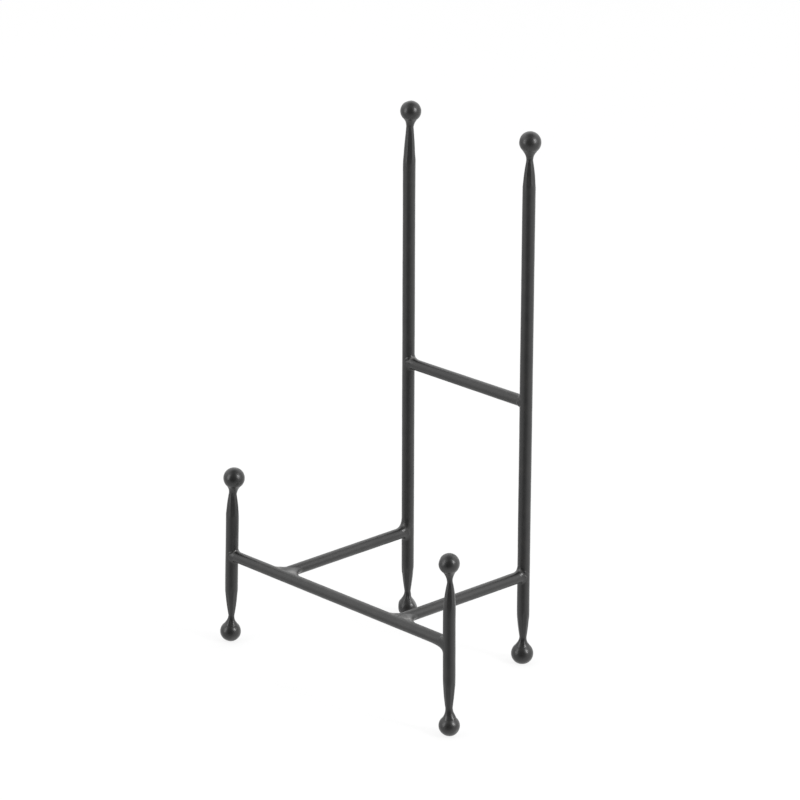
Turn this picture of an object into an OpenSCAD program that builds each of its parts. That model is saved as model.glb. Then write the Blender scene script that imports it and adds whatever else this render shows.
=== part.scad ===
// Plate display stand: four round-rod posts with ball ends, tied by four welded rails.
// The floor is z = 0, the front of the stand faces -Y, and x = 0 lies midway between the front posts.

/* [Stand] */
// Height of the rear posts, from the floor to the top of the ball
rear_h = 305.6; // [240:0.1:400]
// Height of the front posts, from the floor to the top of the ball
front_h = 104; // [100:1:140]
// Distance between the axes of the front posts
front_span = 174; // [150:1:240]
// Distance between the axes of the rear posts, and between the side rails
rear_span = 92.5; // [70:0.5:120]
// Distance from the front posts' axes to the rear posts' axes
depth_span = 97.5; // [80:0.5:140]
// Height of the axes of the front rail and the side rails
low_rail_z = 52.5; // [48:0.5:56]
// Height of the upper rail's axis
upper_rail_z = 153.5; // [120:0.5:190]

/* [Rods] */
// Diameter of the posts
post_d = 6.8; // [6.4:0.1:7.4]
// Diameter of the front rail and the upper rail
rail_d = 6.3; // [6.2:0.1:6.3]
// Diameter of the side rails
side_rail_d = 6.1; // [5.6:0.1:6.1]

/* [Ball ends] */
// Diameter of the balls, apart from those of the rear right post
ball_d = 11.4; // [11:0.1:12.4]
// Diameter of the two balls of the rear right post
rear_right_ball_d = 12.2; // [11:0.1:12.6]
// Diameter of the flat under a foot ball of the usual diameter
foot_flat_d = 2.5; // [2:0.5:5]
// Diameter of the neck, where the post is drawn down to enter its ball
neck_d = 3.4; // [3:0.1:3.8]
// Distance from a ball's centre to the thin end of the neck's taper
neck_at = 9.2; // [8.6:0.1:10]
// Length of the taper from the neck to the full rod
taper_len = 20; // [14:1:24]
// Distance from a ball's centre to the floor of the socket that takes the neck
socket_at = 3.2; // [2:0.1:3.6]

/* [Welds] */
// Usual reach of a rail weld along the two rods
weld_leg = 2; // [1.6:0.1:2.4]
// Reach of a rail weld along the rail, on the rail's two sides
weld_side_leg = 1.6; // [1.2:0.1:2]
// Reach of a rail weld around the other rod, on the rail's two sides
weld_wrap = 1.2; // [0.9:0.1:1.6]
// Height that a rail weld stands proud on the rail's two sides
weld_crown = 0.5; // [0.4:0.05:0.8]
// How full a rail weld is in its corner, from 0 for hollow to 1 for flat
weld_fill = 0.3; // [0.2:0.05:0.6]
// How proud the thin end of a neck weld stands on the neck
neck_weld_lip = 0.12; // [0.1:0.01:0.3]
// How hollow the flare of a neck weld is, from 1 for a straight cone upwards
neck_weld_flare = 1.8; // [1.6:0.1:2.4]

/* [Hand work] */
// Lean of the front left post's top towards the stand's middle, in degrees
left_lean = 1.6; // [0:0.1:2]
// Lean of the front left post's top towards the back, in degrees
left_rake = 0.8; // [0:0.1:2]
// Lean of the front right post's top towards the stand's middle, in degrees
right_lean = 0.6; // [0:0.1:2]
// Lean of the rear right post's top towards the stand's middle, in degrees
rear_lean = 0.1; // [0:0.1:0.5]
// How much shorter the rear left post is than the rear right post
rear_left_short = 1; // [0:0.1:2]
// Rise of the front rail from its left end to its right end
front_rail_rise = 0.9; // [0:0.1:1.5]
// Drop of the side rails from the front rail's height to the rear posts
side_rail_drop = 0.5; // [0:0.1:1]
// Shift of the right side rail's front end towards the stand's middle
side_rail_shift = 0.6; // [0:0.1:1]
// Most that a ball's centre lies off the axis of its post, in x and in y
ball_runout = 0.5; // [0:0.1:0.6]

/* [Hidden] */
$fn = 48;
neck_r = neck_d / 2;
post_r = post_d / 2;
// Height of every foot ball's centre, with the usual flat on the floor
foot_z = sqrt(ball_d * ball_d - foot_flat_d * foot_flat_d) / 2;
// Rings along a neck's taper and along a neck weld
taper_rings = 10;
// The wide end of a neck weld inside its ball: its distance from the ball's centre and its radius, as
// shares of the ball's radius, and the length of the plain root behind it
neck_weld_at = 0.55;
neck_weld_r = 0.78;
neck_weld_root = 0.9;
// Length of bare neck between a neck weld and the taper
neck_bare = 0.3;
// Sections around a rail weld, and steps across one section
weld_sections = 28;
weld_steps = 5;
// Growth of the rods' radii under a rail weld, which keeps its flat facets outside the round rods
facet_room = 1 / cos(180 / weld_sections);
// Length of the rods that cut sockets, neck bores and the saddles of the rail ends
stub = 30;
iron = "#3d3b3d";

function unit(v) = v / norm(v);
function mix(a, b, t) = a + (b - a) * t;

// A post: name, place of its axis at the low rails' height, height, and the lean of its axis in x and
// in y per mm of height. Then the offsets of its top ball and its foot ball, as shares of the run-out,
// and the diameter of the two balls.
POSTS = [
    ["rear_left", [-rear_span / 2, depth_span / 2], rear_h - rear_left_short, [0, 0],
        [[0.8, 0.8], [0, 0]], ball_d],
    ["rear_right", [rear_span / 2, depth_span / 2], rear_h, [-tan(rear_lean), 0],
        [[0.5, 0.5], [-0.6, -0.6]], rear_right_ball_d],
    ["front_left", [-front_span / 2, -depth_span / 2], front_h, [tan(left_lean), tan(left_rake)],
        [[1, 1], [-0.3, -0.3]], ball_d],
    ["front_right", [front_span / 2, -depth_span / 2], front_h, [-tan(right_lean), 0],
        [[-0.3, -0.4], [0.3, 0.3]], ball_d]
];
ENDS = ["top", "foot"];
function name_of(piece) = piece[0];
function lean(p) = p[3];
function ball_r(p) = p[5] / 2;
function on_axis(p, z) = concat(p[1] + (z - low_rail_z) * lean(p), [z]);
function post_dir(p) = unit([lean(p).x, lean(p).y, 1]);

// Height and centre of a post's end ball, the direction from the ball into the post, and the point
// where the neck's taper starts
function end_z(p, end) = end == "top" ? p[2] - ball_r(p) : foot_z;
function runout(p, end) = ball_runout * p[4][end == "top" ? 0 : 1];
function ball_centre(p, end) = on_axis(p, end_z(p, end)) + concat(runout(p, end), [0]);
function into_post(p, end) = (end == "top" ? -1 : 1) * post_dir(p);
function neck_start(p, end) = on_axis(p, end_z(p, end)) + neck_at * into_post(p, end);

// A rail's end: name, the point where its axis crosses the other rod's axis, the direction and radius
// of the other rod, and two pairs of weld reaches, as shares of weld_leg: along the other rod and
// along the rail, first on the side that the direction points to and then on the opposite side
function on_post(name, p, z, above, below) = [name, on_axis(p, z), post_dir(p), post_r, [above, below]];
function end_point(end) = end[1];
function host_dir(end) = end[2];
function host_r(end) = end[3];
function reaches(end, a) = weld_leg * end[4][sin(a) > 0 ? 0 : 1];

// A rail: name, diameter, first end, second end
FRONT = [
    "front_rail", rail_d,
    on_post("left", POSTS[2], low_rail_z - front_rail_rise / 2, [0.7, 0.8], [0.5, 0.6]),
    on_post("right", POSTS[3], low_rail_z + front_rail_rise / 2, [0.6, 0.8], [1.8, 2.6])
];
UPPER = [
    "upper_rail", rail_d,
    on_post("left", POSTS[0], upper_rail_z, [1.5, 1.8], [0.6, 0.6]),
    on_post("right", POSTS[1], upper_rail_z, [0.6, 0.6], [0.5, 0.6])
];
function ends(rail) = [rail[2], rail[3]];
function run(rail) = end_point(rail[3]) - end_point(rail[2]);
function on_front_rail(x, right, left) =
    let (start = end_point(FRONT[2]))
    let (point = start + run(FRONT) * (x - start.x) / run(FRONT).x)
    ["front", point, unit(run(FRONT)), rail_d / 2, [right, left]];
RAILS = [
    FRONT,
    UPPER,
    [
        "side_rail_left", side_rail_d,
        on_front_rail(-rear_span / 2, [0.5, 0.6], [1.8, 1.8]),
        on_post("rear", POSTS[0], low_rail_z - side_rail_drop, [1.6, 1.6], [0.9, 0.9])
    ],
    [
        "side_rail_right", side_rail_d,
        on_front_rail(rear_span / 2 - side_rail_shift, [0.5, 0.6], [1.8, 2.2]),
        on_post("rear", POSTS[1], low_rail_z - side_rail_drop, [1.5, 1.6], [0.7, 0.6])
    ]
];

function post_node(p) = str(name_of(p), "_post");
function ball_node(p, end) = str(name_of(p), "_", end, "_ball");
function neck_weld_node(p, end) = str(name_of(p), "_", end, "_neck_weld");
function rail_weld_node(rail, end) = str(name_of(rail), "_", name_of(end), "_weld");

// Places children at a point with their Z axis along direction v
module aim(point, v) {
    translate(point)
        rotate([0, acos(v.z), atan2(v.y, v.x)])
            children();
}

// Radius of a post at distance s from the centre of the nearer ball
function post_radius(s) = mix(neck_r, post_r, 1 - pow(1 - (s - neck_at) / taper_len, 2));

// A post: its full rod between two drawn-down necks, whose ends enter the balls
module post(p) {
    length = norm(on_axis(p, end_z(p, "top")) - on_axis(p, foot_z));
    taper = [for (i = [0:taper_rings]) neck_at + i * taper_len / taper_rings];
    color(iron)
        aim(on_axis(p, foot_z), post_dir(p))
            rotate_extrude()
                polygon(concat(
                    [[0, socket_at], [neck_r, socket_at]],
                    [for (s = taper) [post_radius(s), s]],
                    [for (i = [taper_rings:-1:0]) [post_radius(taper[i]), length - taper[i]]],
                    [[neck_r, length - socket_at], [0, length - socket_at]]
                ));
}

// The plain ball of one post end
module ball_solid(p, end) {
    translate(ball_centre(p, end))
        sphere(r = ball_r(p));
}

// The drawn-down end of a post, as it fills its socket and its weld
module neck_pin(p, end) {
    aim(on_axis(p, end_z(p, end)) + socket_at * into_post(p, end), into_post(p, end))
        cylinder(r = neck_r, h = stub);
}

// A ball with the socket for its post and, on a foot, the flat that it stands on
module ball(p, end) {
    color(iron)
        difference() {
            ball_solid(p, end);
            neck_pin(p, end);
            translate([-front_span, -front_span, -ball_d])
                cube([2 * front_span, 2 * front_span, ball_d]);
        }
}

// The trumpet-shaped weld between a ball and its neck, round the line from the ball's centre to the
// start of the taper
module neck_weld(p, end) {
    axis = neck_start(p, end) - ball_centre(p, end);
    lip_at = norm(axis) - neck_bare;
    lip_r = neck_r + neck_weld_lip;
    wide_at = neck_weld_at * ball_r(p);
    wide_r = neck_weld_r * ball_r(p);
    root_at = wide_at - neck_weld_root;
    flare = [
        for (t = [0:1 / taper_rings:1])
            [mix(lip_r, wide_r, pow(1 - t, neck_weld_flare)), mix(wide_at, lip_at, t)]
    ];
    color(iron)
        difference() {
            aim(ball_centre(p, end), unit(axis))
                rotate_extrude()
                    polygon(concat([[0, root_at], [wide_r, root_at]], flare, [[0, lip_at]]));
            ball_solid(p, end);
            neck_pin(p, end);
        }
}

// A rail: a plain round rod, coped at each end to the rod that it butts against
module rail(r) {
    color(iron)
        difference() {
            aim(end_point(r[2]), unit(run(r)))
                cylinder(d = r[1], h = norm(run(r)));
            for (end = ends(r))
                aim(end_point(end), host_dir(end))
                    cylinder(r = host_r(end), h = stub, center = true);
        }
}

// A point on a rod of radius r: s is the distance around it from the side that faces the rail
function on_rod(r, s, z) = [r * cos(s / r * 180 / PI), r * sin(s / r * 180 / PI), z];

// Section of a rail weld at angle a around a rail of radius rail_r, on a rod of radius rod_r, in the
// joint's own axes: x along the rail and z along the rod. A quadratic curve joins the toe on the rail
// to the toe on the rod, and the section closes along the two rods through the corner between them.
function weld_section(rod_r, rail_r, reach, a) =
    let (
        radial = [0, cos(a), sin(a)],
        side = pow(cos(a), 2),
        around = rod_r * asin(rail_r * cos(a) / rod_r) * PI / 180,
        corner = on_rod(rod_r, around, rail_r * sin(a)),
        along_rod = mix(reach[0], weld_wrap, side),
        rail_toe = corner + [mix(reach[1], weld_side_leg, side), 0, 0],
        rod_toe = on_rod(rod_r, around + along_rod * cos(a), corner.z + along_rod * sin(a)),
        rod_mid = on_rod(rod_r, around + along_rod * cos(a) / 2, corner.z + along_rod * sin(a) / 2),
        pull = mix(corner, (rail_toe + rod_toe) / 2, weld_fill) + weld_crown * side * radial
    )
    concat(
        [for (t = [0:1 / weld_steps:1])
            pow(1 - t, 2) * rail_toe + 2 * t * (1 - t) * pull + t * t * rod_toe],
        [rod_mid, corner]
    );

// The weld around one end of a rail: a closed ring of sections, which lies on both rods
module rail_weld(r, end) {
    rows = weld_steps + 3;
    inward = end_point(end) == end_point(r[2]) ? unit(run(r)) : -unit(run(r));
    across = unit(cross(host_dir(end), inward));
    angles = [for (i = [0:weld_sections - 1]) 360 * i / weld_sections];
    points = [
        for (a = angles)
            for (q = weld_section(facet_room * host_r(end), facet_room * r[1] / 2, reaches(end, a), a))
                end_point(end) + q.x * inward + q.y * across + q.z * host_dir(end)
    ];
    function at(i, j) = (i % weld_sections) * rows + j % rows;
    faces = [
        for (i = [0:weld_sections - 1], j = [0:rows - 1])
            each [
                [at(i, j), at(i, j + 1), at(i + 1, j + 1)],
                [at(i, j), at(i + 1, j + 1), at(i + 1, j)]
            ]
    ];
    color(iron)
        polyhedron(points = points, faces = faces);
}

for (p = POSTS) {
    post(p);
    for (end = ENDS) {
        ball(p, end);
        neck_weld(p, end);
    }
}
for (r = RAILS) {
    rail(r);
    for (end = ends(r))
        rail_weld(r, end);
}
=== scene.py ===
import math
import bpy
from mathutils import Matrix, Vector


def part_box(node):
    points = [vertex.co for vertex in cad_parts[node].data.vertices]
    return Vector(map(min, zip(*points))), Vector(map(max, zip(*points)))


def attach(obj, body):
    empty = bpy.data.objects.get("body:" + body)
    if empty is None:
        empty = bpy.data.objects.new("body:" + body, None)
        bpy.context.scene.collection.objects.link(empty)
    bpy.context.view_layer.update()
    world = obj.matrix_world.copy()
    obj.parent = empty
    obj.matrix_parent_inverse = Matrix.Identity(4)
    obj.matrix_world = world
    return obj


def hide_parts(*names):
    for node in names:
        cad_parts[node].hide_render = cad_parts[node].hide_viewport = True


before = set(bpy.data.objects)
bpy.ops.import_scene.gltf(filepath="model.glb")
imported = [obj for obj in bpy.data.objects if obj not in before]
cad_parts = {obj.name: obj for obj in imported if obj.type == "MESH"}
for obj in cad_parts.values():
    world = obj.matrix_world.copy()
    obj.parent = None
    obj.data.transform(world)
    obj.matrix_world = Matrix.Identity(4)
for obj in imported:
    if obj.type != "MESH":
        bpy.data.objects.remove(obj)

# The looks of a plate display stand: hand-forged iron rods with ball ends, welded together and given a
# satin black coat. Lengths are in millimetres until a mesh is made, and angles are in degrees around Z
# from +X, unless a comment says otherwise. The camera stands at the right front, and a little above.
import zlib

import bmesh
import bpy
import numpy as np
from mathutils import Matrix, Vector
from mathutils.bvhtree import BVHTree

MM = 0.001
BODY = "root"
POSTS = ("rear_left", "rear_right", "front_left", "front_right")
ENDS = ("foot", "top")
Y, Z = np.eye(3)[1:]
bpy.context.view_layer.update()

# How fine the meshes are: segments around a rod, ring spacing along it, sections around each kind of weld
# and points across it, how often a ball's faces are split, and the turn in radians that keeps an edge sharp
ROD_SEGMENTS = 64
RING_STEP = 0.9
BEAD_SECTIONS, BEAD_POINTS = 150, 26
NECK_WELD_SECTIONS, NECK_WELD_POINTS = 96, 32
BALL_SPLITS = 6
SHARP_EDGE = 1.0

# Rods: the radius of each at its foot, left or front end and at its other end
GIRTH = {
    "rear_left_post": (3.52, 3.50),
    "rear_right_post": (3.48, 3.54),
    "front_left_post": (3.60, 3.60),
    "front_right_post": (3.34, 3.42),
    "front_rail": (3.17, 3.28),
    "upper_rail": (3.10, 3.30),
    "side_rail_left": (3.15, 3.15),
    "side_rail_right": (3.12, 3.32),
}

# The axis that each rail runs along, and the two rods that it butts against: the name of the rail's end
# and the other rod's node
RAIL_AXIS = {"front_rail": 0, "upper_rail": 0, "side_rail_left": 1, "side_rail_right": 1}
RAIL_HOSTS = {
    "front_rail": [("left", "front_left_post"), ("right", "front_right_post")],
    "upper_rail": [("left", "rear_left_post"), ("right", "rear_right_post")],
    "side_rail_left": [("front", "front_rail"), ("rear", "rear_left_post")],
    "side_rail_right": [("front", "front_rail"), ("rear", "rear_right_post")],
}

# The length of a rod's end that its centre is taken from
END_SLICE = 4.0

# Unevenness of the rods: its height, and the quick waves' share of that. Then the slow and the quick waves:
# how many are added up, the most of them around the rod, and the shortest along it.
ROD_WAVE = 0.035
QUICK_SHARE = 0.4
SLOW_WAVES = (7, 2, 60)
QUICK_WAVES = (10, 5, 9)

# A rail's ends: how far they reach under the other rod's skin, how far off that rod's side they stay, the
# length of rail whose rings bend to the shape of the end, and the sizes of the rings that close the end
COPE_INSET = 0.06
COPE_MARGIN = 0.2
COPE_REACH = 9.0
COPE_RINGS = (0.25, 0.5, 0.75, 0.93)

# The way to the right rear, across the camera's view
RIGHT_REAR = 46

# One ball a line: radius, how far its middle is off the CAD ball's, to the right rear and up, and the
# height of its unevenness. Then how many waves make that up, their least and greatest number of radians
# per radius, and how softly the flat of a foot begins.
BALLS = {
    "rear_left_top": (5.78, 0.19, 0.0, 0.05),
    "rear_right_top": (5.93, -0.09, 0.0, 0.05),
    "front_left_top": (5.99, -0.24, 0.0, 0.05),
    "front_right_top": (5.60, 0.20, -0.28, 0.10),
    "rear_left_foot": (5.75, 0.0, 0.0, 0.08),
    "rear_right_foot": (6.24, 0.26, 0.0, 0.05),
    "front_left_foot": (5.85, 0.23, 0.18, 0.06),
    "front_right_foot": (5.68, -0.22, 0.25, 0.07),
}
BALL_WAVES = 14
BALL_WAVE_RANGE = (2, 7)
FOOT_EDGE = 0.15

# One post end a line: half angle of the cone under the ball, neck diameter, distances from the ball's
# centre to the neck and to the full rod, and how far the neck is bent to the right rear. Then where along
# the post the bend is greatest, and how far it spreads.
NECKS = {
    "rear_left_top": (45, 3.9, 8.2, 31, 0.3),
    "rear_right_top": (38, 3.4, 9.4, 24.5, 0.1),
    "front_left_top": (45, 4.1, 8.7, 21, -0.15),
    "front_right_top": (42, 2.8, 9.9, 26.5, 0.4),
    "rear_left_foot": (36, 3.3, 9.2, 27, 0),
    "rear_right_foot": (42, 3.7, 9.3, 26, 0.2),
    "front_left_foot": (43, 3.1, 9.2, 27, 0.35),
    "front_right_foot": (44, 3.8, 9.8, 27, -0.08),
}
BEND_AT, BEND_REACH = 12, 13

# The facets that the hammer left on each post end: the way the first of them faces, their depth as a
# share of the radius, and how far from the ball's centre they end
FACETS = {
    "rear_left_top": (-40, 0.085, 27),
    "rear_right_top": (-46, 0.10, 25),
    "front_left_top": (-38, 0.08, 20),
    "front_right_top": (-50, 0.06, 24),
    "rear_left_foot": (-52, 0.085, 24),
    "rear_right_foot": (-36, 0.07, 24),
    "front_left_foot": (-44, 0.085, 25),
    "front_right_foot": (-56, 0.07, 24),
}

# All facets: how many go around a post, how far past the neck they start, and by how much each one's
# facing, its end and its depth stray. Then how much their edges are rounded, and the least cosine used.
FACETS_AROUND = 8
FACETS_START = 0.4
FACET_TURN = 7
FACET_STRAY = 3
FACET_DEPTHS = (0.8, 1.25)
FACET_EDGE = 0.02
LEAST_COSINE = 0.3

# Dents (negative) and lumps (positive) on the welds under the balls: the way the mark faces, its place
# from the ball (0) to the neck (1), its height, its half width in degrees and its half length as a share
# of the weld
NECK_MARKS = {
    "rear_left_top": [(-30, 0.85, 0.14, 26, 0.10), (-90, 0.8, 0.12, 25, 0.15)],
    "rear_right_top": [(-46, 0.6, 0.2, 28, 0.07), (-52, 0.93, 0.26, 34, 0.06), (-40, 0.76, -0.14, 24, 0.07)],
    "front_left_top": [(-60, 0.9, 0.12, 30, 0.12), (0, 0.6, 0.1, 25, 0.15)],
    "front_right_top": [(-20, 0.9, 0.10, 30, 0.12), (20, 0.5, 0.1, 26, 0.15)],
    "rear_left_foot": [(-66, 0.5, 0.18, 22, 0.3), (-34, 0.45, -0.16, 20, 0.35), (-5, 0.4, 0.16, 24, 0.3)],
    "rear_right_foot": [(-28, 0.5, 0.25, 18, 0.16), (-46, 0.6, -0.25, 16, 0.16), (-95, 0.5, 0.1, 26, 0.2)],
    "front_left_foot": [(-40, 0.4, -0.22, 18, 0.45), (-70, 0.45, 0.12, 22, 0.25), (-5, 0.4, 0.12, 24, 0.25)],
    "front_right_foot": [(-20, 0.45, 0.12, 24, 0.2), (0, 0.2, 0.12, 24, 0.2), (46, 0.3, 0.38, 60, 0.35),
                         (-50, 0.5, -0.1, 24, 0.25)],
}

# All neck welds: how far past the narrowest place they run, and for what shares of their length they head
# straight away from the ball and from the post. Then how deep their roots lie in the post and, along and
# across, in the ball, and their ripples: height, waves, and how they fade at the toes.
NECK_TOE = 1.4
CONE_HOLD, NECK_HOLD = 0.62, 0.42
NECK_ROOT = 0.5
BALL_ROOT = (0.4, 0.6)
NECK_RIPPLE = 0.05
NECK_WAVES = (12, 5, 0.5)
RIPPLE_EDGE, RIPPLE_FADE = 0.05, 0.6

# Flats of the balls and of the welds under them: the direction that a flat faces, its distance from the
# ball's centre as a share of the radius, and how flat it is (1 = quite flat)
BALL_FLATS = {
    "rear_left_top": [((-0.3, -0.15, 0.94), 0.955, 0.9), ((0.4, 0.85, 0.3), 0.96, 0.8)],
    "rear_right_top": [((-0.84, -0.52, 0.15), 0.955, 0.8)],
    "front_left_top": [((0.1, 0.3, 0.95), 0.98, 0.8)],
    "front_right_top": [((-0.62, -0.66, 0.36), 0.93, 0.6), ((0.35, -0.85, -0.35), 0.965, 0.6)],
    "rear_left_foot": [((0.60, 0.62, 0.51), 0.84, 1.0), ((-0.72, -0.69, 0.0), 0.88, 0.65)],
    "rear_right_foot": [((-0.6, -0.5, -0.6), 0.975, 0.6)],
    "front_left_foot": [((0.8, -0.3, -0.5), 0.96, 0.6)],
    "front_right_foot": [((0.9, 0.1, -0.3), 0.965, 0.6)],
}

# Where the flats end up the weld, and over what distance they fade, in shares of the ball's radius
FLATS_END, FLATS_FADE = 1.4, 0.3

# Rail welds. Angles run around the rail: at 90 is the side that the other rod's direction points to
# (up on a post, +X on the front rail), and 0 is a quarter turn before it. Reaches are pairs, along the
# other rod and along the rail: at 90, at 270, and on the sides. Then how full the corner is at 90, at 270
# and on the sides, how far the sides swell, and the weld's marks: angle, place from the rail's toe (0) to
# the other rod's toe (1), height, half width in degrees, and half length as a share of the section.
RAIL_WELDS = {
    "front_rail_left": (
        (1.8, 2.4), (1.4, 1.6), (2.4, 3.2), (0.3, 0.3, 0.9), 0.0,
        [(142, 0.72, 0.32, 14, 0.12), (160, 0.88, 0.3, 12, 0.09), (152, 0.62, -0.22, 9, 0.1),
         (196, 0.5, 0.14, 16, 0.14), (20, 0.5, 0.3, 30, 0.3)],
    ),
    "front_rail_right": (
        (1.2, 2.0), (4.2, 13.0), (1.8, 5.0), (0.3, 0.1, 0.9), 0.0,
        [(46, 0.28, 0.26, 17, 0.15), (190, 0.5, 0.3, 30, 0.3)],
    ),
    "upper_rail_left": (
        (3.4, 7.5), (1.4, 1.6), (2.4, 3.4), (0.2, 0.3, 0.9), 0.0,
        [(134, 0.75, 0.3, 12, 0.1), (154, 0.86, 0.28, 11, 0.09), (172, 0.72, 0.2, 11, 0.1),
         (145, 0.6, -0.2, 9, 0.12), (158, 0.4, 0.2, 12, 0.1)],
    ),
    "upper_rail_right": (
        (1.2, 2.0), (0.8, 1.4), (1.2, 4.2), (0.4, 0.4, 0.9), 0.0,
        [(0, 0.35, 0.24, 30, 0.12), (44, 0.5, 0.2, 16, 0.14), (322, 0.5, 0.24, 20, 0.12)],
    ),
    "side_rail_left_front": (
        (13.0, 12.0), (5.0, 6.0), (3.8, 4.2), (0.8, 0.3, 1.0), 0.15,
        [(10, 0.6, 0.14, 50, 0.2), (310, 0.5, 0.12, 22, 0.2)],
    ),
    "side_rail_left_rear": (
        (7.4, 6.4), (2.6, 2.8), (2.2, 3.2), (0.2, 0.5, 0.9), 0.0,
        [(38, 0.84, 0.26, 12, 0.09), (58, 0.74, 0.2, 11, 0.1), (4, 0.42, 0.16, 26, 0.07),
         (22, 0.62, -0.14, 12, 0.1)],
    ),
    "side_rail_right_front": (
        (13.0, 12.0), (5.6, 6.6), (3.8, 4.2), (0.8, 0.3, 1.0), 0.15,
        [(10, 0.6, 0.14, 50, 0.2), (300, 0.45, 0.12, 24, 0.2)],
    ),
    "side_rail_right_rear": (
        (3.8, 4.4), (1.6, 1.8), (2.4, 3.2), (0.25, 0.3, 0.9), 0.0,
        [(8, 0.5, 0.36, 12, 0.09), (36, 0.7, 0.34, 14, 0.1), (24, 0.86, 0.26, 16, 0.09),
         (22, 0.5, -0.16, 8, 0.1)],
    ),
}

# All rail welds: how far their toes wander and in what waves, the height and waves of their ripples, how
# evenly marks and ripples reach out to the toes, and how far marks lean away from the other rod
TOE_WAVE, TOE_WAVES = 0.25, (6, 6, 1)
BEAD_RIPPLE, BEAD_WAVES = 0.03, (12, 5, 0.9)
EDGE_POWER = 8
MARK_LEAN = 0.6

# How much a full corner shortens the stretch that runs along the rods, how quickly the reach at 90 and 270
# gives way to the reach on the sides, and how close to the toe the other rod's direction is taken. Then the
# hidden root: how deep it lies in the other rod and in the rail, how thick it is as a share of the rail,
# and how far it goes along the other rod and the rail, as shares of the reaches.
FILL_SHARE = 0.6
SIDE_POWER = 1.4
NEAR_TOE = 0.95
HOST_ROOT = 0.7
RAIL_ROOT = 0.5
ROOT_SHARE = 0.8
ROOT_REACH = (0.5, 0.6)

# Painted highlight in the corners of the rail welds, a pale colour standing in for light from above: where
# across the weld it lies, how wide, and the upward share of the normal from which it begins and is full
HIGHLIGHT_AT, HIGHLIGHT_SPREAD = 0.62, 0.12
HIGHLIGHT_SLOPE = (0.2, 0.85)

# Toes of all welds: how far they lie under the skin that they run out on, and the share of the section
# that follows that skin
TOE_INSET = 0.012
TOE_SHARE = 0.2

# One coat a line: how light the black is, its lowest and highest roughness, the height of its orange peel,
# and how pale the painted highlight on upward weld faces makes it
COATS = {
    "rod_coat": (0.007, 0.34, 0.43, 0.004, 0.0),
    "ball_coat": (0.007, 0.29, 0.37, 0.004, 0.0),
    "weld_coat": (0.007, 0.30, 0.40, 0.005, 0.09),
}

# Noise in the coats: grains per metre, detail and roughness. Then how much the specks add to the blotches,
# how many times higher the dents are than the orange peel, and between which values of the smears' noise
# the roughness goes from its lowest to its highest.
BLOTCHES = (140, 4, 0.6)
SPECKS = (2600, 2, 0.5)
SMEARS = (320, 3, 0.65)
PEEL = (1700, 3, 0.55)
DENTS = (420, 2, 0.5)
HIGHLIGHT_CLOUDS = (500, 3, 0.6)
SPECK_SHARE = 0.3
DENT_TO_PEEL = 3
SMEAR_RANGE = (0.3, 0.7)
COAT_IOR = 1.5

# Greys of the coats, the painted highlight and the floor: a value of the noise, the lightness there as a
# share of the coat's, the painted highlight's or the floor's, and the warmth there
BLACKS = [(0.35, 0.7, -0.03), (0.62, 1, 0), (0.9, 1.5, 0.05)]
HIGHLIGHT_GREYS = [(0.3, 0.6, 0.02), (0.7, 1.3, 0.04)]
FLOOR_GREYS = [(0.3, 0.12, 0), (0.7, 0.13, 0)]

# Camera: the direction it looks from (its azimuth runs from -Y towards +X) and its roll, then in metres its
# distance and how far it is moved to its right and up, and then its lens and its sensor's width in mm
CAMERA_AZIMUTH = 46.2638
CAMERA_ELEVATION = 19.4266
CAMERA_ROLL = 0.179
CAMERA_DISTANCE = 1.9714
CAMERA_ASIDE = -0.00095
CAMERA_UP = 0.14594
CAMERA_LENS = 159.05
SENSOR = 36

# Surroundings: strength at the horizon on the dark and on the bright side, which side is bright, and how
# widely one gives way to the other. Then the strength higher up and the heights between which it rises,
# and what is left of the light overhead and the height at which it begins to fade.
WALL_LOW = (1.0, 1.3)
BRIGHT_SIDE = (0.87, 0.5, 0)
SIDE_SPREAD = 0.8
WALL_HIGH = 1.85
WALL_RISE = (-0.05, 0.65)
CEILING = 0.28
CEILING_EDGE = 0.72

# The darker room behind the camera: what is left of the light, its direction, and the cosines at which it
# starts and is darkest. Then the white that the camera sees past the stand, and the floor: its glow, half
# its width in metres, and its noise.
ROOM = 0.17
ROOM_TURN = -4
ROOM_TILT = 0.3
ROOM_EDGE = 0.45
ROOM_CORE = 0.93
BACKDROP = 1.05
FLOOR_GLOW = 0.84
FLOOR_SIDE = 9.0
FLOOR_CLOUDS = (0.8, 2, 0.5)

# One soft light a line: its direction from the stand, its distance, width and height in metres, and its
# strength. Then the point that all of them face.
SOFTBOXES = {
    "right_box": ((0.865, 0.212, 0.453), 1.7, (0.34, 0.85), 20.0),
    "left_box": ((-0.309, -0.894, 0.28), 1.7, (0.6, 1.3), 3.6),
}
SOFTBOX_AIM = (0, 0, 0.15)


# ---- Reading the frame ------------------------------------------------------------------------------

def unit(v):
    """A vector of length 1."""
    v = np.asarray(v, float)
    return v / np.linalg.norm(v)


def cad_points(node):
    """The vertices of a CAD node, in mm."""
    return np.array([v.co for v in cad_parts[node].data.vertices], float) / MM


def rod_line(node, axis):
    """The centres of a CAD rod's two ends. The rod runs mainly along that axis."""
    points = cad_points(node)
    centres = []
    for end in (points[:, axis].min(), points[:, axis].max()):
        near = points[np.abs(points[:, axis] - end) < END_SLICE]
        centres.append((near.min(0) + near.max(0)) / 2)
    return centres


def aside(distance):
    """A step of that length towards the right rear."""
    return distance * np.array([math.cos(math.radians(RIGHT_REAR)), math.sin(math.radians(RIGHT_REAR)), 0])


def ball_centre(end):
    """The centre of a ball. A CAD ball's top is never cut, and its width is its diameter."""
    low, high = (np.array(corner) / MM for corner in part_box(end + "_ball"))
    radius = (high[0] - low[0]) / 2
    _, to_right, up, _ = BALLS[end]
    middle = np.array([(low[0] + high[0]) / 2, (low[1] + high[1]) / 2, high[2] - radius])
    return middle + aside(to_right) + up * Z


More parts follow.
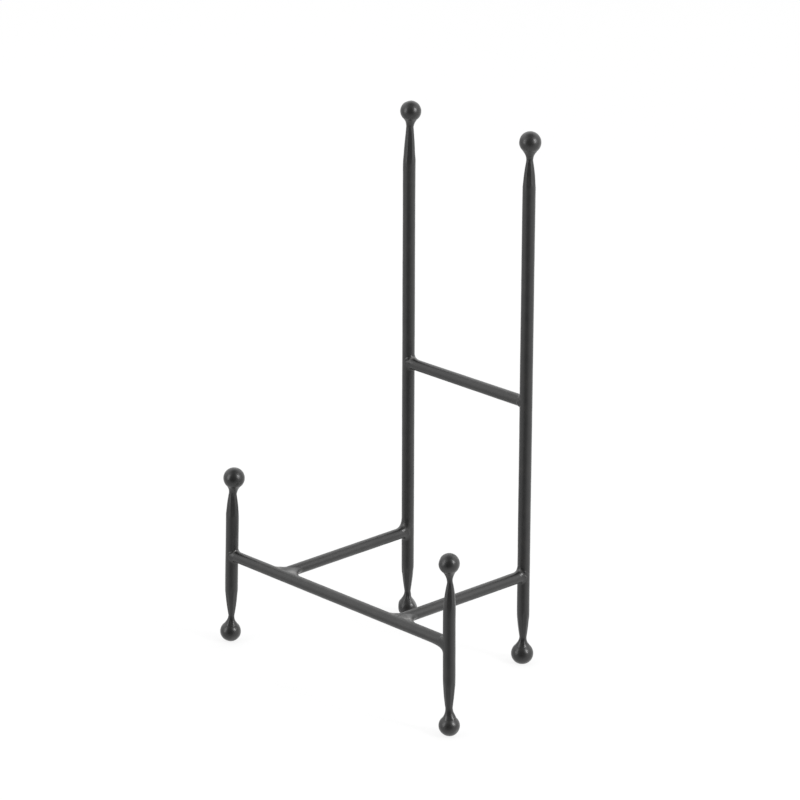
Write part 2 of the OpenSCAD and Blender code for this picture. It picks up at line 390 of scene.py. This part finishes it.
def girth(rod, share):
    """A rod's radius, as a share of the way from its foot, left or front end to its other end."""
    start, end = GIRTH[rod]
    return start + (end - start) * share


def along_line(line, point):
    """Distance from the start of a line to the foot of the perpendicular from a point."""
    return float((point - line[0]) @ unit(line[1] - line[0]))


def crossing(line, other):
    """The point of a line that is nearest to another line."""
    u, v = unit(line[1] - line[0]), unit(other[1] - other[0])
    w = line[0] - other[0]
    b = u @ v
    return line[0] + u * (b * (v @ w) - u @ w) / (1 - b * b)


# ---- Uneven surfaces --------------------------------------------------------------------------------

def seed_of(name):
    """A seed that stays the same for a piece's name in every run."""
    return zlib.crc32(name.encode())


def waves(name, count, turns, length):
    """Smooth unevenness over the angle around a rod and the distance along it, about -1 to 1. It closes
    up around the rod. turns is the most waves around it, and length the shortest wave along it."""
    rng = np.random.default_rng(seed_of(name))
    around = rng.integers(0, turns + 1, count)
    along = rng.uniform(-1, 1, count) * 2 * np.pi / length
    phase = rng.uniform(0, 2 * np.pi, count)

    def field(angle, distance):
        total = 0
        for m, k, p in zip(around, along, phase):
            total = total + np.cos(m * angle + k * distance + p)
        return total / np.sqrt(count * 2)

    return field


def unevenness(rod):
    """A rod's unevenness in mm, over the angle around it and the distance along it."""
    slow = waves(rod + "_slow", *SLOW_WAVES)
    quick = waves(rod + "_quick", *QUICK_WAVES)

    def height(angle, distance):
        return ROD_WAVE * slow(angle, distance) + QUICK_SHARE * ROD_WAVE * quick(angle, distance)

    return height


def positive(x, soft):
    """x where it is above 0, else 0, with the corner rounded over plus or minus soft."""
    rounded = (x + soft) ** 2 / (4 * soft)
    return np.where(x > soft, x, np.where(x < -soft, 0, rounded))


def turn_between(a, b):
    """The angle from b to a in radians, from -pi to pi."""
    return (a - b + np.pi) % (2 * np.pi) - np.pi


def flats_cut(radius, angle, distance, flats):
    """What hammer flats take off a round rod of that radius."""
    cut = np.zeros(np.broadcast(radius, angle, distance).shape)
    for facing, middle, half, depth in flats:
        window = np.clip(1 - ((distance - middle) / half) ** 4, 0, 1)
        tilt = turn_between(angle, math.radians(facing))
        plane = radius * (1 - depth * window) / np.maximum(np.cos(tilt), LEAST_COSINE)
        cut = np.maximum(cut, positive(radius - plane, FACET_EDGE) * (window > 0))
    return cut


def marks_height(angle, place, marks):
    """The height of lumps and dents at an angle (radians) and a place."""
    height = 0
    for facing, middle, tall, half_width, half_length in marks:
        turn = turn_between(angle, math.radians(facing)) / math.radians(half_width)
        height = height + tall * np.exp(-turn ** 2 - ((place - middle) / half_length) ** 2)
    return height


# ---- Meshes -----------------------------------------------------------------------------------------

def make_piece(name, points, faces, material, node, painted_highlight=None):
    """A smooth closed mesh from points in mm, riding on the body and standing for its CAD node. The last
    argument is how strongly the painted highlight of upward faces may lie on each point."""
    mesh = bpy.data.meshes.new(name)
    mesh.from_pydata((np.asarray(points) * MM).tolist(), [], faces)
    bm = bmesh.new()
    bm.from_mesh(mesh)
    bmesh.ops.recalc_face_normals(bm, faces=bm.faces)
    for face in bm.faces:
        face.smooth = True
    for edge in bm.edges:
        edge.smooth = edge.calc_face_angle(0) < SHARP_EDGE
    bm.to_mesh(mesh)
    bm.free()
    if painted_highlight is not None:
        # A per-point attribute that says where the painted highlight of upward faces may lie.
        mesh.attributes.new("painted_highlight", "FLOAT", "POINT").data.foreach_set("value", np.asarray(painted_highlight, np.float32))
    mesh.materials.append(material)
    piece = bpy.data.objects.new(name, mesh)
    bpy.context.scene.collection.objects.link(piece)
    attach(piece, BODY)
    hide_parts(node)
    return piece


def skin_of(piece):
    """A search tree over the faces of a piece, in mm."""
    corners = [v.co / MM for v in piece.data.vertices]
    return BVHTree.FromPolygons(corners, [list(p.vertices) for p in piece.data.polygons])


def settle(points, pull, skin):
    """Points drawn towards just under a skin, each by its own share."""
    settled = points.copy()
    for i in np.nonzero(pull > 0)[0]:
        place, normal, _, _ = skin.find_nearest(Vector(points[i]))
        settled[i] += pull[i] * (np.array(place - TOE_INSET * normal) - points[i])
    return settled


def toe_pull(t):
    """How strongly the start of a weld's section is drawn to the skin under it: 1 at the toe."""
    near = np.clip(1 - t / TOE_SHARE, 0, 1)
    return near ** 2 * (3 - 2 * near)


def settle_toes(points, sections, across, hidden, first_skin, last_skin):
    """A weld's points with both toes drawn onto the skins under them. Each section has that many points
    across from toe to toe, and then that many hidden ones."""
    t = np.linspace(0, 1, across)
    for from_toe, skin in ((t, first_skin), (1 - t, last_skin)):
        pull = np.concatenate([toe_pull(from_toe), np.zeros(hidden)])
        points = settle(points, np.tile(pull, sections), skin)
    return points


def tube_faces(rings, segments):
    """Quads between rings of points, and a fan to one more point at each end."""
    faces = []
    for i in range(rings - 1):
        for j in range(segments):
            k = (j + 1) % segments
            faces.append((i * segments + j, i * segments + k, (i + 1) * segments + k, (i + 1) * segments + j))
    first, last, base = rings * segments, rings * segments + 1, (rings - 1) * segments
    for j in range(segments):
        k = (j + 1) % segments
        faces.append((first, k, j))
        faces.append((last, base + j, base + k))
    return faces


def hoop_faces(sections, points):
    """Quads of a closed hoop made from closed sections."""
    faces = []
    for i in range(sections):
        n = (i + 1) % sections
        for j in range(points):
            k = (j + 1) % points
            faces.append((i * points + j, i * points + k, n * points + k, n * points + j))
    return faces


# ---- Posts ------------------------------------------------------------------------------------------

def drawn_down(s, end, full):
    """Radius of a post at distance s from a ball's centre, before its hammer facets."""
    _, neck, neck_at, full_at, _ = NECKS[end]
    t = np.clip((s - neck_at) / (full_at - neck_at), 0, 1)
    return neck / 2 + (full - neck / 2) * (1 - (1 - t) ** 2)


def neck_bend(s, end):
    """How far the post is bent towards the right rear at distance s from a ball's centre."""
    return NECKS[end][4] * np.exp(-((s - BEND_AT) / BEND_REACH) ** 2)


def hammer_facets(end):
    """The facets of a post end, as flats: facing, middle, half length, depth."""
    first, depth, last = FACETS[end]
    start = NECKS[end][2] + FACETS_START
    rng = np.random.default_rng(seed_of(end))
    facets = []
    for i in range(FACETS_AROUND):
        facing = first + 360 / FACETS_AROUND * i + FACET_TURN * rng.uniform(-1, 1)
        stop = last + rng.uniform(-FACET_STRAY, FACET_STRAY)
        facets.append((facing, (start + stop) / 2, (stop - start) / 2, depth * rng.uniform(*FACET_DEPTHS)))
    return facets


def post_piece(post, material):
    """A post: a full rod between two necks that were drawn down with a hammer."""
    node = post + "_post"
    line = rod_line(node, 2)
    axis = unit(line[1] - line[0])
    foot = along_line(line, ball_centre(post + "_foot"))
    top = along_line(line, ball_centre(post + "_top"))
    length = np.linalg.norm(line[1] - line[0])
    count = int(length / RING_STEP)
    s = np.linspace(0, length, count)[:, None]
    angle = np.linspace(0, 2 * np.pi, ROD_SEGMENTS, endpoint=False)[None, :]
    from_foot, from_top = s - foot, top - s
    full = girth(node, s / length)
    radius = drawn_down(from_foot, post + "_foot", full)
    radius = np.minimum(radius, drawn_down(from_top, post + "_top", full)) * np.ones_like(angle)
    cut = np.maximum(
        flats_cut(radius, angle, from_foot, hammer_facets(post + "_foot")),
        flats_cut(radius, angle, from_top, hammer_facets(post + "_top")),
    )
    radius = radius - cut + unevenness(node)(angle, s)
    across = unit(np.cross(Y, axis))
    back = np.cross(axis, across)
    around = np.cos(angle)[..., None] * across + np.sin(angle)[..., None] * back
    bend = neck_bend(from_foot, post + "_foot") + neck_bend(from_top, post + "_top")
    points = line[0] + s[..., None] * axis + bend[..., None] * aside(1) + radius[..., None] * around
    tips = [line[0] + bend[0, 0] * aside(1), line[1] + bend[-1, 0] * aside(1)]
    points = np.concatenate([points.reshape(-1, 3), tips])
    faces = tube_faces(count, ROD_SEGMENTS)
    return make_piece(post + "_forged_post", points, faces, material, node)


# ---- Balls ------------------------------------------------------------------------------------------

def ball_lumps(name, directions):
    """Slow unevenness over a ball."""
    rng = np.random.default_rng(seed_of(name))
    height = np.zeros(len(directions))
    for _ in range(BALL_WAVES):
        way = unit(rng.normal(size=3)) * rng.uniform(*BALL_WAVE_RANGE)
        height += np.cos(directions @ way + rng.uniform(0, 2 * np.pi))
    return height / np.sqrt(2 * BALL_WAVES)


def flatten(points, centre, end):
    """Points of a ball end with its flats cut. The flats fade away up the weld."""
    radius = BALLS[end][0]
    reach = np.linalg.norm(points - centre, axis=1) / radius
    fade = np.clip((FLATS_END - reach) / FLATS_FADE, 0, 1)
    for facing, share, flat in BALL_FLATS[end]:
        facing = unit(facing)
        proud = (points - centre) @ facing - share * radius
        points = points - (flat * fade * positive(proud, (1 - share) * radius))[:, None] * facing
    return points


def ball_piece(end, material):
    """A forged ball: nearly round, with small flats. A foot ball stands on a flat."""
    node = end + "_ball"
    centre, (radius, _, _, lump) = ball_centre(end), BALLS[end]
    bm = bmesh.new()
    bmesh.ops.create_icosphere(bm, subdivisions=BALL_SPLITS, radius=1)
    directions = np.array([v.co for v in bm.verts])
    faces = [[v.index for v in f.verts] for f in bm.faces]
    bm.free()
    points = centre + directions * (radius + lump * ball_lumps(node, directions))[:, None]
    points = flatten(points, centre, end)
    if end.endswith("foot"):
        points[:, 2] = positive(points[:, 2], FOOT_EDGE)
    return make_piece(end + "_forged_ball", points, faces, material, node)


# ---- Neck welds -------------------------------------------------------------------------------------

def bezier(a, b, c, d, t):
    """Points of a cubic curve."""
    t = np.asarray(t)[:, None]
    return a * (1 - t) ** 3 + 3 * b * t * (1 - t) ** 2 + 3 * c * t ** 2 * (1 - t) + d * t ** 3


def neck_profile(end, full):
    """A neck weld's outline, as distances along and from the post's axis. It leaves the ball as a tangent
    and meets the post at the slope of its taper."""
    cone, neck, neck_at, full_at, _ = NECKS[end]
    cone = math.radians(cone)
    start = BALLS[end][0] * np.array([math.sin(cone), math.cos(cone)])
    slope = 2 * (full - neck / 2) / (full_at - neck_at)
    stop = np.array([neck_at + NECK_TOE, neck / 2 + slope * NECK_TOE])
    slant = (start[1] - stop[1]) / math.tan(cone)
    return bezier(
        start,
        start + CONE_HOLD * slant * np.array([1, -math.tan(cone)]),
        stop - NECK_HOLD * (stop[0] - start[0]) * np.array([1, slope]),
        stop,
        np.linspace(0, 1, NECK_WELD_POINTS),
    )


def neck_weld_piece(post, place, post_skin, ball_skin, material):
    """The cone of weld metal under a ball, from the ball to the neck of the post."""
    end = post + "_" + place
    centre = ball_centre(end)
    line = rod_line(post + "_post", 2)
    upward = unit(line[1] - line[0])
    axis = upward * (1 if place == "foot" else -1)
    on_axis = line[0] + upward * along_line(line, centre)
    profile = neck_profile(end, girth(post + "_post", ENDS.index(place)))
    start, stop = profile[0], profile[-1]
    root = NECKS[end][1] / 2 - NECK_ROOT
    hidden = [(stop[0], root), (start[0], root), start - BALL_ROOT]
    t = np.linspace(0, 1, NECK_WELD_POINTS)
    ripple = NECK_RIPPLE * np.sin(np.pi * (RIPPLE_EDGE + (1 - 2 * RIPPLE_EDGE) * t)) ** RIPPLE_FADE
    uneven = waves(end + "_neck", *NECK_WAVES)
    across = unit(np.cross(Y, axis))
    back = np.cross(axis, across)
    points = []
    for angle in np.linspace(0, 2 * np.pi, NECK_WELD_SECTIONS, endpoint=False):
        around = math.cos(angle) * across + math.sin(angle) * back
        facing = math.atan2(around[1], around[0])
        height = marks_height(facing, t, NECK_MARKS[end]) + ripple * uneven(angle, t)
        for s, r in [*(profile + height[:, None] * [0, 1]), *hidden]:
            share = np.clip((s - start[0]) / (stop[0] - start[0]), 0, 1)
            middle = (centre - on_axis) * (1 - share) + aside(neck_bend(s, end)) * share
            points.append(on_axis + middle + s * axis + r * around)
    points = flatten(np.array(points), centre, end)
    sizes = (NECK_WELD_SECTIONS, NECK_WELD_POINTS, len(hidden))
    points = settle_toes(points, *sizes, ball_skin, post_skin)
    faces = hoop_faces(NECK_WELD_SECTIONS, NECK_WELD_POINTS + len(hidden))
    return make_piece(end + "_neck_bead", points, faces, material, end + "_neck_weld")


# ---- Rails ------------------------------------------------------------------------------------------

def joint(rail, index):
    """One end of a rail: the point where its axis crosses the other rod's, and that rod's direction and
    radius there."""
    line = rod_line(rail, RAIL_AXIS[rail])
    host = RAIL_HOSTS[rail][index][1]
    host_line = rod_line(host, RAIL_AXIS.get(host, 2))
    share = along_line(host_line, crossing(host_line, line)) / np.linalg.norm(host_line[1] - host_line[0])
    return crossing(line, host_line), unit(host_line[1] - host_line[0]), girth(host, share)


def cope(offsets, host_axis, rail_axis, host_radius):
    """Distance from the other rod's axis to just under its surface, at points offset from the rail's."""
    sideways = offsets @ unit(np.cross(host_axis, rail_axis))
    most = (host_radius - COPE_MARGIN) ** 2
    return np.sqrt((host_radius - COPE_INSET) ** 2 - np.minimum(sideways ** 2, most))


def rail_piece(rail, material):
    """A rail: a straight rod with uneven sides, coped at both ends to the rods that it meets."""
    (start, first_axis, first_radius), (stop, last_axis, last_radius) = joint(rail, 0), joint(rail, 1)
    axis = unit(stop - start)
    length = np.linalg.norm(stop - start)
    angle = np.linspace(0, 2 * np.pi, ROD_SEGMENTS, endpoint=False)
    across = unit(np.cross(Z, axis))
    upward = np.cross(axis, across)
    around = np.cos(angle)[:, None] * across + np.sin(angle)[:, None] * upward
    uneven = unevenness(rail)

    def ring(s, share):
        """Offsets of a ring from the axis, and the distances at which they meet the two other rods."""
        offsets = share * (girth(rail, s / length) + uneven(angle, s))[:, None] * around
        near = cope(offsets, first_axis, axis, first_radius)
        far = length - cope(offsets, last_axis, axis, last_radius)
        return offsets, near, far

    rings = []
    for share in COPE_RINGS:
        offsets, near, _ = ring(0.0, share)
        rings.append(start + near[:, None] * axis + offsets)
    plain_near, plain_far = first_radius, length - last_radius
    for t in np.linspace(0, 1, int(length / RING_STEP)):
        offsets, near, far = ring(t * length, 1.0)
        plain = plain_near + (plain_far - plain_near) * t
        near_part = np.clip(1 - (plain - plain_near) / COPE_REACH, 0, 1)
        far_part = np.clip(1 - (plain_far - plain) / COPE_REACH, 0, 1)
        s = plain + (near - plain_near) * near_part + (far - plain_far) * far_part
        rings.append(start + s[:, None] * axis + offsets)
    for share in reversed(COPE_RINGS):
        offsets, _, far = ring(length, share)
        rings.append(start + far[:, None] * axis + offsets)
    tips = [start + (first_radius - COPE_INSET) * axis, stop - (last_radius - COPE_INSET) * axis]
    points = np.concatenate([np.array(rings).reshape(-1, 3), tips])
    return make_piece(rail + "_rod", points, tube_faces(len(rings), ROD_SEGMENTS), material, rail)


# ---- Rail welds -------------------------------------------------------------------------------------

def on_host(radius, around, up):
    """A point of a rod of that radius, in a joint's own axes: x along the rail, z along the rod. around
    is the distance around the rod from the side that faces the rail."""
    return np.array([radius * np.cos(around / radius), radius * np.sin(around / radius), up])


def by_side(angle, up, down, side):
    """A value at an angle around the rail, from the values at 90, at 270 and on the two sides."""
    tall = math.sin(angle)
    weight = abs(tall) ** SIDE_POWER
    return (up if tall > 0 else down) * weight + side * (1 - weight)


def bead_section(angle, along_host, along_rail, hold, rail_radius, host_radius):
    """A section of a rail weld in the joint's own axes. Its skin runs from its toe on the rail to its toe
    on the other rod, tangent to both. Its root is hidden inside them."""
    cos_a, sin_a = math.cos(angle), math.sin(angle)
    around = host_radius * math.asin(rail_radius * cos_a / host_radius)
    corner = on_host(host_radius, around, rail_radius * sin_a)

    def towards_toe(radius, share):
        """A point that share of the way from the corner to the toe on the other rod."""
        reach = share * along_host
        return on_host(radius, around + reach * cos_a, corner[2] + reach * sin_a)

    rail_toe = corner + [along_rail, 0, 0]
    host_toe = towards_toe(host_radius, 1)
    heading = unit(towards_toe(host_radius, NEAR_TOE) - host_toe)
    skin = bezier(
        rail_toe,
        rail_toe + hold * (corner - rail_toe),
        host_toe + hold * along_host * heading,
        host_toe,
        np.linspace(0, 1, BEAD_POINTS),
    )
    host_share, rail_share = ROOT_REACH
    inside = corner * [1, ROOT_SHARE, ROOT_SHARE]
    root = [
        towards_toe(host_radius - HOST_ROOT, host_share),
        inside - [RAIL_ROOT, 0, 0],
        inside + [rail_share * along_rail, 0, 0],
    ]
    return skin, root


def weld_piece(rail, index, rail_skin, host_skin, material):
    """The bead around one end of a rail: a hollow or full corner with marks, whose toes lie on both rods."""
    name = rail + "_" + RAIL_HOSTS[rail][index][0]
    corner_point, host_axis, host_radius = joint(rail, index)
    inward = unit(joint(rail, 1 - index)[0] - corner_point)
    basis = np.array([inward, unit(np.cross(host_axis, inward)), host_axis])
    up, down, side, fill, swell, marks = RAIL_WELDS[name]
    uneven = waves(name + "_bead", *BEAD_WAVES)
    toe_wave = waves(name + "_toe", *TOE_WAVES)
    t = np.linspace(0, 1, BEAD_POINTS)
    edge = 1 - np.abs(2 * t - 1) ** EDGE_POWER
    points = []
    for i in range(BEAD_SECTIONS):
        angle = 2 * math.pi * i / BEAD_SECTIONS
        along_host = by_side(angle, up[0], down[0], side[0]) + TOE_WAVE * toe_wave(angle, 0.0)
        along_rail = by_side(angle, up[1], down[1], side[1]) - TOE_WAVE * toe_wave(angle, 0.5)
        hold = 1 - FILL_SHARE * by_side(angle, *fill)
        skin, root = bead_section(angle, along_host, along_rail, hold, girth(rail, index), host_radius)
        height = (marks_height(angle, t, marks) + BEAD_RIPPLE * uneven(angle, t)) * edge
        height = height + swell * math.cos(angle) ** 2 * np.sin(np.pi * t) ** 2
        outward = unit([MARK_LEAN, math.cos(angle), math.sin(angle)])
        section = np.concatenate([skin + height[:, None] * outward, root])
        points.append(corner_point + section @ basis)
    sizes = (BEAD_SECTIONS, BEAD_POINTS, len(root))
    points = settle_toes(np.concatenate(points), *sizes, rail_skin, host_skin)
    # Where across the weld the painted highlight of upward faces lies: pale colour standing in for light from
    # above.
    painted_highlight = np.concatenate([np.exp(-((t - HIGHLIGHT_AT) / HIGHLIGHT_SPREAD) ** 2), np.zeros(len(root))])
    painted_highlight = np.tile(painted_highlight, BEAD_SECTIONS)
    faces = hoop_faces(BEAD_SECTIONS, BEAD_POINTS + len(root))
    return make_piece(name + "_bead", points, faces, material, name + "_weld", painted_highlight)


# ---- Materials --------------------------------------------------------------------------------------

def noise_node(nodes, links, coordinates, scale, detail, roughness):
    """A noise texture of that many grains per metre."""
    node = nodes.new("ShaderNodeTexNoise")
    node.inputs["Scale"].default_value = scale
    node.inputs["Detail"].default_value = detail
    node.inputs["Roughness"].default_value = roughness
    links.new(coordinates, node.inputs["Vector"])
    return node.outputs["Fac"]


def range_node(nodes, links, value, low, high, to_low, to_high):
    """A value moved from one range to another."""
    node = nodes.new("ShaderNodeMapRange")
    node.interpolation_type = "SMOOTHSTEP"
    for socket, number in zip(("From Min", "From Max", "To Min", "To Max"), (low, high, to_low, to_high)):
        node.inputs[socket].default_value = number
    links.new(value, node.inputs["Value"])
    return node.outputs["Result"]


def grey_node(nodes, links, value, level, greys):
    """A grey that follows a value. Its stops are of a value, a share of the level, and a warmth: slightly
    warm above 0 and slightly cool below."""
    node = nodes.new("ShaderNodeValToRGB")
    stops = node.color_ramp.elements
    for _ in greys[2:]:
        stops.new(0.5)
    for stop, (position, share, warm) in zip(stops, greys):
        light = level * share
        stop.position = position
        stop.color = (light * (1 + warm), light, light * (1 - warm), 1)
    links.new(value, node.inputs["Fac"])
    return node.outputs["Color"]


def with_painted_highlight(nodes, links, coordinates, colour, painted_highlight):
    """A colour made pale where the piece's attribute allows and the surface faces up: a painted highlight of
    light from above.
    """
    highlight_where = nodes.new("ShaderNodeAttribute")
    highlight_where.attribute_name = "painted_highlight"
    split = nodes.new("ShaderNodeSeparateXYZ")
    links.new(nodes.new("ShaderNodeNewGeometry").outputs["Normal"], split.inputs["Vector"])
    share = nodes.new("ShaderNodeMath")
    share.operation = "MULTIPLY"
    links.new(highlight_where.outputs["Fac"], share.inputs[0])
    links.new(range_node(nodes, links, split.outputs["Z"], *HIGHLIGHT_SLOPE, 0.0, 1.0), share.inputs[1])
    pale = nodes.new("ShaderNodeMix")
    pale.data_type = "RGBA"
    links.new(share.outputs[0], pale.inputs["Factor"])
    links.new(colour, pale.inputs["A"])
    cloud = noise_node(nodes, links, coordinates, *HIGHLIGHT_CLOUDS)
    links.new(grey_node(nodes, links, cloud, painted_highlight, HIGHLIGHT_GREYS), pale.inputs["B"])
    return pale.outputs["Result"]


def bump_node(nodes, links, height, distance, normal=None):
    """A bump of that many mm, on top of another one if given."""
    node = nodes.new("ShaderNodeBump")
    node.inputs["Strength"].default_value = 1.0
    node.inputs["Distance"].default_value = distance * MM
    links.new(height, node.inputs["Height"])
    if normal:
        links.new(normal, node.inputs["Normal"])
    return node.outputs["Normal"]


def coat_material(name):
    """Satin black coat on hand-worked iron: blotches of slightly different black, an uneven sheen, fine
    orange peel and shallow dents."""
    level, sheen_low, sheen_high, peel, painted_highlight = COATS[name]
    material = bpy.data.materials.new(name)
    material.use_nodes = True
    nodes, links = material.node_tree.nodes, material.node_tree.links
    shader = nodes["Principled BSDF"]
    coordinates = nodes.new("ShaderNodeTexCoord").outputs["Object"]
    mix = nodes.new("ShaderNodeMath")
    mix.operation = "MULTIPLY_ADD"
    links.new(noise_node(nodes, links, coordinates, *BLOTCHES), mix.inputs[2])
    links.new(noise_node(nodes, links, coordinates, *SPECKS), mix.inputs[0])
    mix.inputs[1].default_value = SPECK_SHARE
    colour = grey_node(nodes, links, mix.outputs[0], level, BLACKS)
    # On the welds, a pale tint on upward faces is a painted highlight of light from above.
    if painted_highlight:
        colour = with_painted_highlight(nodes, links, coordinates, colour, painted_highlight)
    links.new(colour, shader.inputs["Base Color"])
    smears = noise_node(nodes, links, coordinates, *SMEARS)
    sheen = range_node(nodes, links, smears, *SMEAR_RANGE, sheen_low, sheen_high)
    links.new(sheen, shader.inputs["Roughness"])
    fine = bump_node(nodes, links, noise_node(nodes, links, coordinates, *PEEL), peel)
    dents = noise_node(nodes, links, coordinates, *DENTS)
    links.new(bump_node(nodes, links, dents, DENT_TO_PEEL * peel, fine), shader.inputs["Normal"])
    shader.inputs["IOR"].default_value = COAT_IOR
    return material


def floor_material():
    """A plain pale floor with a barely visible unevenness."""
    material = bpy.data.materials.new("pale_floor")
    material.use_nodes = True
    nodes, links = material.node_tree.nodes, material.node_tree.links
    shader = nodes["Principled BSDF"]
    coordinates = nodes.new("ShaderNodeTexCoord").outputs["Object"]
    cloud = noise_node(nodes, links, coordinates, *FLOOR_CLOUDS)
    links.new(grey_node(nodes, links, cloud, 1, FLOOR_GREYS), shader.inputs["Base Color"])
    shader.inputs["Roughness"].default_value = 0.9
    shader.inputs["Specular IOR Level"].default_value = 0.0
    shader.inputs["Emission Color"].default_value = (1, 1, 1, 1)
    shader.inputs["Emission Strength"].default_value = FLOOR_GLOW
    return material


# ---- Studio -----------------------------------------------------------------------------------------

def camera_axes():
    """The camera's right, up and backward directions."""
    a, e, roll = (math.radians(x) for x in (CAMERA_AZIMUTH, CAMERA_ELEVATION, CAMERA_ROLL))
    back = np.array([math.sin(a) * math.cos(e), -math.cos(a) * math.cos(e), math.sin(e)])
    right = np.array([math.cos(a), math.sin(a), 0])
    up = np.cross(back, right)
    return math.cos(roll) * right + math.sin(roll) * up, math.cos(roll) * up - math.sin(roll) * right, back


def add_camera():
    """A long lens at the right front, slightly above the stand."""
    right, up, back = camera_axes()
    camera = bpy.data.objects.new("camera", bpy.data.cameras.new("camera"))
    camera.data.lens = CAMERA_LENS
    camera.data.sensor_width = SENSOR
    camera.data.clip_start, camera.data.clip_end = 0.05, 60
    place = CAMERA_ASIDE * right + CAMERA_UP * up + CAMERA_DISTANCE * back
    camera.matrix_world = Matrix([*zip(right, up, back, place), (0, 0, 0, 1)])
    bpy.context.scene.collection.objects.link(camera)
    bpy.context.scene.camera = camera


def add_softbox(name, direction, distance, size, radiance):
    """A soft rectangular light that faces the middle of the stand and that the camera doesn't see."""
    light = bpy.data.lights.new(name, "AREA")
    light.shape = "RECTANGLE"
    light.size, light.size_y = size
    light.energy = radiance * math.pi * size[0] * size[1]
    box = bpy.data.objects.new(name, light)
    away = Vector(unit(direction))
    box.location = Vector(SOFTBOX_AIM) + distance * away
    box.rotation_euler = away.to_track_quat("Z", "Y").to_euler()
    box.visible_camera = False
    bpy.context.scene.collection.objects.link(box)


def add_world():
    """White surroundings: brightest above the horizon, dimmer overhead, with a darker room behind the
    camera. Past the stand, the camera sees plain white."""
    world = bpy.data.worlds.new("studio")
    bpy.context.scene.world = world
    world.use_nodes = True
    nodes, links = world.node_tree.nodes, world.node_tree.links
    background = nodes["Background"]
    direction = nodes.new("ShaderNodeTexCoord").outputs["Generated"]

    def facing(way):
        dot = nodes.new("ShaderNodeVectorMath")
        dot.operation = "DOT_PRODUCT"
        dot.inputs[1].default_value = unit(way)
        links.new(direction, dot.inputs[0])
        return dot.outputs["Value"]

    def times(a, b):
        product = nodes.new("ShaderNodeMath")
        product.operation = "MULTIPLY"
        links.new(a, product.inputs[0])
        links.new(b, product.inputs[1])
        return product.outputs["Value"]

    height = facing((0, 0, 1))
    low = range_node(nodes, links, facing(BRIGHT_SIDE), -SIDE_SPREAD, SIDE_SPREAD, *WALL_LOW)
    walls = nodes.new("ShaderNodeMix")
    walls.data_type = "FLOAT"
    links.new(range_node(nodes, links, height, *WALL_RISE, 0.0, 1.0), walls.inputs["Factor"])
    links.new(low, walls.inputs["A"])
    walls.inputs["B"].default_value = WALL_HIGH
    ceiling = range_node(nodes, links, height, CEILING_EDGE, 1.0, 1.0, CEILING)
    azimuth = math.radians(CAMERA_AZIMUTH + ROOM_TURN)
    room_way = (math.sin(azimuth), -math.cos(azimuth), ROOM_TILT)
    room = range_node(nodes, links, facing(room_way), ROOM_EDGE, ROOM_CORE, 1.0, ROOM)
    level = times(times(walls.outputs["Result"], ceiling), room)
    seen = nodes.new("ShaderNodeLightPath").outputs["Is Camera Ray"]
    mix = nodes.new("ShaderNodeMix")
    mix.data_type = "FLOAT"
    links.new(seen, mix.inputs["Factor"])
    links.new(level, mix.inputs["A"])
    mix.inputs["B"].default_value = BACKDROP
    background.inputs["Color"].default_value = (1, 1, 1, 1)
    links.new(mix.outputs["Result"], background.inputs["Strength"])


def add_floor():
    """A large plain floor. Reflections see the surroundings and not the floor."""
    mesh = bpy.data.meshes.new("floor")
    corners = [(x * FLOOR_SIDE, y * FLOOR_SIDE, 0) for x, y in ((-1, -1), (1, -1), (1, 1), (-1, 1))]
    mesh.from_pydata(corners, [], [(0, 1, 2, 3)])
    mesh.materials.append(floor_material())
    floor = bpy.data.objects.new("floor", mesh)
    bpy.context.scene.collection.objects.link(floor)
    floor.visible_glossy = False


rod_coat = coat_material("rod_coat")
ball_coat = coat_material("ball_coat")
weld_coat = coat_material("weld_coat")

skins = {}
for post in POSTS:
    skins[post + "_post"] = skin_of(post_piece(post, rod_coat))
    for place in ENDS:
        ball_skin = skin_of(ball_piece(post + "_" + place, ball_coat))
        neck_weld_piece(post, place, skins[post + "_post"], ball_skin, weld_coat)
for rail in RAIL_HOSTS:
    skins[rail] = skin_of(rail_piece(rail, rod_coat))
for rail, hosts in RAIL_HOSTS.items():
    for index, (_, host) in enumerate(hosts):
        weld_piece(rail, index, skins[rail], skins[host], weld_coat)

add_camera()
add_world()
add_floor()
for name, softbox in SOFTBOXES.items():
    add_softbox(name, *softbox)
bpy.context.scene.view_settings.view_transform = "Standard"
